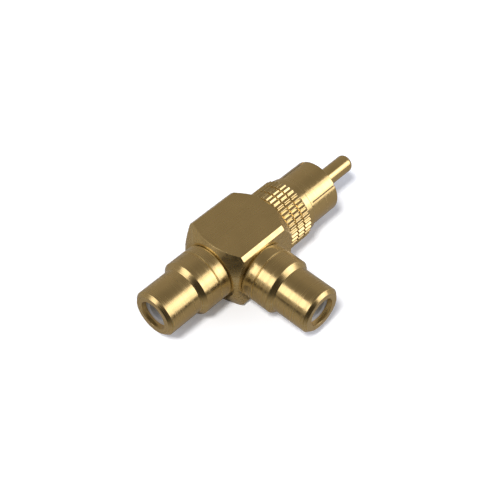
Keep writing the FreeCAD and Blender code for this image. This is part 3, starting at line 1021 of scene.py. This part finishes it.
lift = math_node(
    floor_tree, "ADD", math_node(floor_tree, "MULTIPLY", seen, seen_lift),
    math_node(floor_tree, "MULTIPLY", rays["Is Glossy Ray"], mirror_lift))
floor_tree.links.new(lift, floor_shader.inputs["Emission Strength"])
floor_mesh.materials.append(floor_paint)
print("floor", floor_size, "m square")

# %% [markdown]
# Metal shows its surroundings, so the light here is mostly what the gold reflects. The world
# is a dim grey studio, darker overhead and nearly black behind the camera. It could be a
# picture of a real studio, but a few plain shades are easier to fit to the reflections in the
# photograph. The camera itself sees the studio plain white, like the table.

# %% The studio
horizon_colour = (0.30, 0.30, 0.31, 1.0)
upper_colour = (0.27, 0.27, 0.28, 1.0)
upper_place = 0.72
overhead_colour = (0.16, 0.16, 0.165, 1.0)
wall_colour = (0.05, 0.05, 0.052, 1.0)
wall_sides = (0.5, 0.72)
wall_top = (0.42, 0.58)

world = bpy.data.worlds.new("studio")
bpy.context.scene.world = world
world.use_nodes = True
sky_tree = world.node_tree
direction = sky_tree.nodes.new("ShaderNodeTexCoord").outputs["Generated"]
upward = sky_tree.nodes.new("ShaderNodeSeparateXYZ")
sky_tree.links.new(direction, upward.inputs[0])
sky = sky_tree.nodes.new("ShaderNodeValToRGB")
sky.color_ramp.elements[0].color = horizon_colour
sky.color_ramp.elements[1].color = overhead_colour
sky.color_ramp.elements.new(upper_place).color = upper_colour
sky_tree.links.new(upward.outputs["Z"], sky.inputs["Fac"])
behind_camera = sky_tree.nodes.new("ShaderNodeVectorMath")
behind_camera.operation = "DOT_PRODUCT"
behind_camera.inputs[1].default_value = (-math.sqrt(0.5), -math.sqrt(0.5), 0.0)
sky_tree.links.new(direction, behind_camera.inputs[0])
dark_wall = math_node(
    sky_tree, "MULTIPLY", spread(sky_tree, behind_camera.outputs["Value"], wall_sides, (0.0, 1.0)),
    spread(sky_tree, upward.outputs["Z"], wall_top, (1.0, 0.0)))
studio = blend_colours(sky_tree, dark_wall, sky.outputs["Color"], wall_colour)
sky_rays = sky_tree.nodes.new("ShaderNodeLightPath").outputs
plain = math_node(sky_tree, "ADD", sky_rays["Is Camera Ray"], sky_rays["Is Transmission Ray"])
white_studio = blend_colours(sky_tree, plain, studio, shade_of(WHITE))
sky_tree.links.new(white_studio, sky_tree.nodes["Background"].inputs["Color"])
print("studio with a dark wall behind the camera")

# %% [markdown]
# Two softboxes give the bright streaks. The right one is round, with a bulb in its middle
# that gives the streak along each turned part its white heart, and the left one stands
# behind. Each is stated by the angle that it fills, seen from the splitter, because that is
# all a reflection shows of it, and by how bright its surface is. A sun from just above the
# camera is linked to the table alone. It casts the narrow soft shadow that the photograph
# shows along the lower right edges of every part, also beside the pin, and leaves the
# sockets' mouths dim.

# %% The lamps
LAMP_DISTANCE = 0.8
LAMP_COLOUR = (0.92, 1.0, 1.25)


def toward(azimuth, elevation, distance):
    """A place at a compass angle from +X and a height above the port axes, both in degrees."""
    a = math.radians(azimuth)
    e = math.radians(elevation)
    aim = Vector((math.cos(a) * math.cos(e), math.sin(a) * math.cos(e), math.sin(e)))
    return aim * distance + Vector((0, 0, axis_height * MM))


def add_lamp(lamp, azimuth, elevation):
    """Puts a lamp in the scene, aimed at the splitter."""
    thing = bpy.data.objects.new(lamp.name, lamp)
    thing.location = toward(azimuth, elevation, LAMP_DISTANCE)
    aim = toward(azimuth, elevation, 0) - thing.location
    thing.rotation_euler = aim.to_track_quat("-Z", "Y").to_euler()
    bpy.context.scene.collection.objects.link(thing)
    return thing


def softbox(name, shape, azimuth, elevation, wide, tall, brightness):
    """A lit surface that faces the splitter; wide and tall are the angles that it fills."""
    lamp = bpy.data.lights.new(name, "AREA")
    lamp.shape = shape
    lamp.size = 2 * LAMP_DISTANCE * math.tan(math.radians(wide / 2))
    lamp.size_y = 2 * LAMP_DISTANCE * math.tan(math.radians(tall / 2))
    lit_share = math.pi / 4 if shape == "ELLIPSE" else 1.0
    lamp.energy = brightness * math.pi * lamp.size * lamp.size_y * lit_share
    lamp.color = LAMP_COLOUR
    add_lamp(lamp, azimuth, elevation)


softbox("right_softbox", "ELLIPSE", azimuth=-53, elevation=27, wide=49, tall=49, brightness=1.4)
softbox("right_bulb", "ELLIPSE", azimuth=-50, elevation=29, wide=22, tall=22, brightness=1.15)
softbox("left_softbox", "RECTANGLE", azimuth=152.5, elevation=36.5, wide=31, tall=32, brightness=1.7)
table_sun = bpy.data.lights.new("table_sun", "SUN")
table_sun.energy = 2.5
table_sun.angle = math.radians(13)
table_lamp = add_lamp(table_sun, azimuth=-161.5, elevation=61)
table_lamp.visible_glossy = False
only_table = bpy.data.collections.new("only_table")
only_table.objects.link(floor)
table_lamp.light_linking.receiver_collection = only_table
bpy.context.scene.view_settings.view_transform = "Standard"
print("two softboxes, a bulb and a sun for the table")

# %% [markdown]
# The camera stands where the photograph was taken from: above the table, on the side of the
# two sockets, with a long lens and a very slight roll. Its place was found by fitting the
# edges of the splitter, and is given as two angles and a distance from a point near the
# middle of the block.

# %% The camera
camera_azimuth = math.radians(-48.361)
camera_elevation = math.radians(48.943)
camera_roll = math.radians(1.559)
camera_distance = 174.985
camera_target = Vector((1.709, -1.773, axis_height))
lens = 76.27

back = Vector((
    math.sin(camera_azimuth) * math.cos(camera_elevation),
    -math.cos(camera_azimuth) * math.cos(camera_elevation), math.sin(camera_elevation)))
level = (-back).cross(Vector((0, 0, 1))).normalized()
upright = level.cross(-back)
right = level * math.cos(camera_roll) + upright * math.sin(camera_roll)
up = -level * math.sin(camera_roll) + upright * math.cos(camera_roll)
camera = bpy.data.objects.new("camera", bpy.data.cameras.new("camera"))
camera.data.lens = lens
camera.data.sensor_width = 36.0
camera.data.clip_start = 0.01
camera.data.clip_end = 10.0
camera.matrix_world = Matrix.Translation((camera_target + back * camera_distance) * MM) @ Matrix(
    (right, up, back)).transposed().to_4x4()
bpy.context.scene.collection.objects.link(camera)
bpy.context.scene.camera = camera
print("camera", round(camera_distance), "mm away")
